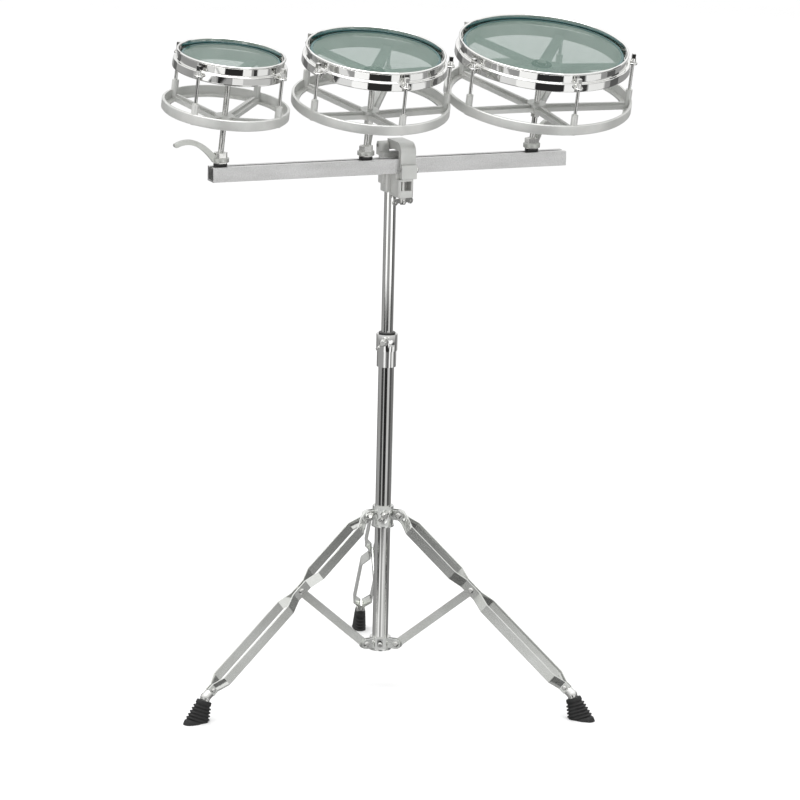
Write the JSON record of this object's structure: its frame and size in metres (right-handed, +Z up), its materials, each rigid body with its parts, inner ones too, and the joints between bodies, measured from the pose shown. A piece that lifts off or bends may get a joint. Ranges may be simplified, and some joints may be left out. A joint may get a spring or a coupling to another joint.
{
  "type": "tunable drum set on a stand",
  "caption": "Tunable shell-less hand drums with clear heads on a slotted rail, clamped to a folding double-braced tripod stand with height adjustment.",
  "frame": {"origin": "on the floor, under the middle of the whole object", "axes": "+Z up the post, +X along the drum rail towards the large drum, -Y towards the player"},
  "size_m": [0.7741, 0.6412, 1.084],
  "materials": {
    "chrome_tube": "polished chrome plating",
    "chrome_hoop": "polished chrome plating",
    "plated_steel": "bright zinc plating",
    "plated_casting": "chrome plated casting",
    "cast_aluminium": "satin lacquered casting",
    "rail_aluminium": "stippled bright aluminium",
    "hardware": "plated fastener",
    "rubber": "matte moulded rubber",
    "nylon": "moulded nylon",
    "clear_head": "clear polyester film in a metal hoop"
  },
  "bodies": {
    "post": {"lower_tube": "chrome_tube", "fixed_hub": "plated_casting", "hub_rivets": "hardware", "height_collar": "plated_casting", "height_bush": "nylon"},
    "height_screw": {"height_screw": "hardware"},
    "mast": {"upper_tube": "chrome_tube"},
    "strut_1": {"strut_1": "plated_steel"},
    "strut_2": {"strut_2": "plated_steel"},
    "strut_3": {"strut_3": "plated_steel"},
    "leg_1": {"leg_1_straps": "plated_steel", "leg_1_rivets": "hardware", "leg_1_ferrule": "hardware", "leg_1_foot": "rubber"},
    "leg_2": {"leg_2_straps": "plated_steel", "leg_2_rivets": "hardware", "leg_2_ferrule": "hardware", "leg_2_foot": "rubber"},
    "leg_3": {"leg_3_straps": "plated_steel", "leg_3_rivets": "hardware", "leg_3_ferrule": "hardware", "leg_3_foot": "rubber"},
    "leg_collar": {"leg_collar": "plated_casting"},
    "collar_screw": {"collar_screw": "hardware"},
    "clamp": {"clamp_body": "cast_aluminium", "clamp_jaw": "cast_aluminium", "jaw_pins": "hardware", "socket_screw": "hardware"},
    "clamp_screw": {"clamp_screw": "hardware"},
    "rail": {"rail": "rail_aluminium"},
    "small_mount": {"small_rail_bolt": "hardware", "small_washer": "nylon"},
    "small_nut": {"small_clamp_nut": "hardware", "small_lever": "hardware"},
    "small_shaft": {"small_shaft": "hardware"},
    "small_drum": {"small_bearing_ring": "chrome_hoop", "small_head": "clear_head"},
    "small_tension_frame": {"small_hoop": "chrome_hoop", "small_tension_rods": "hardware", "small_lower_ring": "cast_aluminium"},
    "middle_mount": {"middle_rail_bolt": "hardware", "middle_washer": "nylon"},
    "middle_nut": {"middle_clamp_nut": "hardware", "middle_lever": "hardware"},
    "middle_shaft": {"middle_shaft": "hardware"},
    "middle_drum": {"middle_bearing_ring": "chrome_hoop", "middle_head": "clear_head"},
    "middle_tension_frame": {"middle_hoop": "chrome_hoop", "middle_tension_rods": "hardware", "middle_lower_ring": "cast_aluminium"},
    "large_mount": {"large_rail_bolt": "hardware", "large_washer": "nylon"},
    "large_nut": {"large_clamp_nut": "hardware", "large_lever": "hardware"},
    "large_shaft": {"large_shaft": "hardware"},
    "large_drum": {"large_bearing_ring": "chrome_hoop", "large_head": "clear_head"},
    "large_tension_frame": {"large_hoop": "chrome_hoop", "large_tension_rods": "hardware", "large_lower_ring": "cast_aluminium"}
  },
  "joints": [
    {"name": "leg_fold", "type": "hinge", "parent": "post", "child": "strut_1", "pos_m": [0.01277, -0.01031, 0.0804], "axis": [0.9563, -0.2924, 0], "range_deg": [0, 41]},
    {"name": "strut_fold_2", "type": "hinge", "parent": "post", "child": "strut_2", "pos_m": [-0.02523, -0.04575, 0.0804], "axis": [-0.225, 0.9744, 0], "range_deg": [0, 41]},
    {"name": "strut_fold_3", "type": "hinge", "parent": "post", "child": "strut_3", "pos_m": [0.02446, -0.06094, 0.0804], "axis": [-0.7314, -0.682, 0], "range_deg": [0, 41]},
    {"name": "leg_1_middle", "type": "hinge", "parent": "strut_1", "child": "leg_1", "pos_m": [0.05042, 0.11285, 0.1877], "axis": [0.9563, -0.2924, 0], "range_deg": [-82, 0]},
    {"name": "collar_on_leg_1", "type": "hinge", "parent": "leg_1", "child": "leg_collar", "pos_m": [0.01277, -0.01031, 0.295], "axis": [0.9563, -0.2924, 0], "range_deg": [0, 41]},
    {"name": "leg_2_top", "type": "hinge", "parent": "leg_collar", "child": "leg_2", "pos_m": [-0.02523, -0.04575, 0.295], "axis": [-0.225, 0.9744, 0], "range_deg": [-41, 0]},
    {"name": "leg_3_top", "type": "hinge", "parent": "leg_collar", "child": "leg_3", "pos_m": [0.02446, -0.06094, 0.295], "axis": [-0.7314, -0.682, 0], "range_deg": [-41, 0]},
    {"name": "collar_screw_turn", "type": "hinge", "parent": "leg_collar", "child": "collar_screw", "pos_m": [0.004, -0.039, 0.297], "axis": [-0.2924, -0.9563, 0], "continuous": true},
    {"name": "height_screw_turn", "type": "hinge", "parent": "post", "child": "height_screw", "pos_m": [0.004, -0.039, 0.58], "axis": [-0.5736, -0.8192, 0], "continuous": true},
    {"name": "height", "type": "slide", "parent": "post", "child": "mast", "axis": [0, 0, 1], "range_m": [-0.2, 0.1]},
    {"name": "clamp_swivel", "type": "hinge", "parent": "mast", "child": "clamp", "pos_m": [0.004, -0.039, 0.8335], "axis": [0, 0, 1], "continuous": true},
    {"name": "clamp_screw_turn", "type": "hinge", "parent": "clamp", "child": "clamp_screw", "pos_m": [0.0085, -0.0788, 0.8335], "axis": [0, 0, 1], "continuous": true},
    {"name": "rail_slide", "type": "slide", "parent": "clamp", "child": "rail", "axis": [1, 0, 0], "range_m": [-0.06, 0.012]},
    {"name": "small_mount_slide", "type": "slide", "parent": "rail", "child": "small_mount", "axis": [1, 0, 0], "range_m": [-0.005, 0.003]},
    {"name": "small_lever_turn", "type": "hinge", "parent": "small_mount", "child": "small_nut", "pos_m": [-0.291, -0.06, 0.893], "axis": [0, 0, 1], "range_deg": [-60, 60]},
    {"name": "small_tilt", "type": "hinge", "parent": "small_mount", "child": "small_shaft", "pos_m": [-0.291, -0.06, 0.893], "axis": [1, 0, 0], "range_deg": [-12, 12]},
    {"name": "small_tune", "type": "hinge", "parent": "small_shaft", "child": "small_drum", "pos_m": [-0.291, -0.06, 0.893], "axis": [0.0432, -0.1392, 0.9893], "range_deg": [-180, 180]},
    {"name": "small_tension", "type": "slide", "parent": "small_drum", "child": "small_tension_frame", "axis": [0.0432, -0.1392, 0.9893], "range_m": [-0.00095, 0.00095]},
    {"name": "middle_mount_slide", "type": "slide", "parent": "rail", "child": "middle_mount", "axis": [1, 0, 0], "range_m": [-0.003, 0.003]},
    {"name": "middle_lever_turn", "type": "hinge", "parent": "middle_mount", "child": "middle_nut", "pos_m": [-0.048, -0.06, 0.893], "axis": [0, 0, 1], "range_deg": [-40, 40]},
    {"name": "middle_tilt", "type": "hinge", "parent": "middle_mount", "child": "middle_shaft", "pos_m": [-0.048, -0.06, 0.893], "axis": [1, 0, 0], "range_deg": [-12, 10]},
    {"name": "middle_tune", "type": "hinge", "parent": "middle_shaft", "child": "middle_drum", "pos_m": [-0.048, -0.06, 0.893], "axis": [0, -0.1994, 0.9799], "range_deg": [-180, 180]},
    {"name": "middle_tension", "type": "slide", "parent": "middle_drum", "child": "middle_tension_frame", "axis": [0, -0.1994, 0.9799], "range_m": [-0.00095, 0.00095]},
    {"name": "large_mount_slide", "type": "slide", "parent": "rail", "child": "large_mount", "axis": [1, 0, 0], "range_m": [-0.003, 0.04]},
    {"name": "large_lever_turn", "type": "hinge", "parent": "large_mount", "child": "large_nut", "pos_m": [0.2375, -0.06, 0.893], "axis": [0, 0, 1], "range_deg": [-40, 60]},
    {"name": "large_tilt", "type": "hinge", "parent": "large_mount", "child": "large_shaft", "pos_m": [0.2375, -0.06, 0.893], "axis": [1, 0, 0], "range_deg": [-12, 8.5]},
    {"name": "large_tune", "type": "hinge", "parent": "large_shaft", "child": "large_drum", "pos_m": [0.2375, -0.06, 0.893], "axis": [0, -0.2164, 0.9763], "range_deg": [-180, 180]},
    {"name": "large_tension", "type": "slide", "parent": "large_drum", "child": "large_tension_frame", "axis": [0, -0.2164, 0.9763], "range_m": [-0.00095, 0.00095]}
  ],
  "couplings": [
    {"joint": "strut_fold_2", "follows": "leg_fold", "ratio": 1},
    {"joint": "strut_fold_3", "follows": "leg_fold", "ratio": 1},
    {"joint": "leg_1_middle", "follows": "leg_fold", "ratio": -2},
    {"joint": "collar_on_leg_1", "follows": "leg_fold", "ratio": 1},
    {"joint": "leg_2_top", "follows": "leg_fold", "ratio": -1},
    {"joint": "leg_3_top", "follows": "leg_fold", "ratio": -1},
    {"joint": "small_tension", "follows": "small_tune", "m_per_rad": 0.00028648},
    {"joint": "middle_tension", "follows": "middle_tune", "m_per_rad": 0.00028648},
    {"joint": "large_tension", "follows": "large_tune", "m_per_rad": 0.00028648}
  ]
}
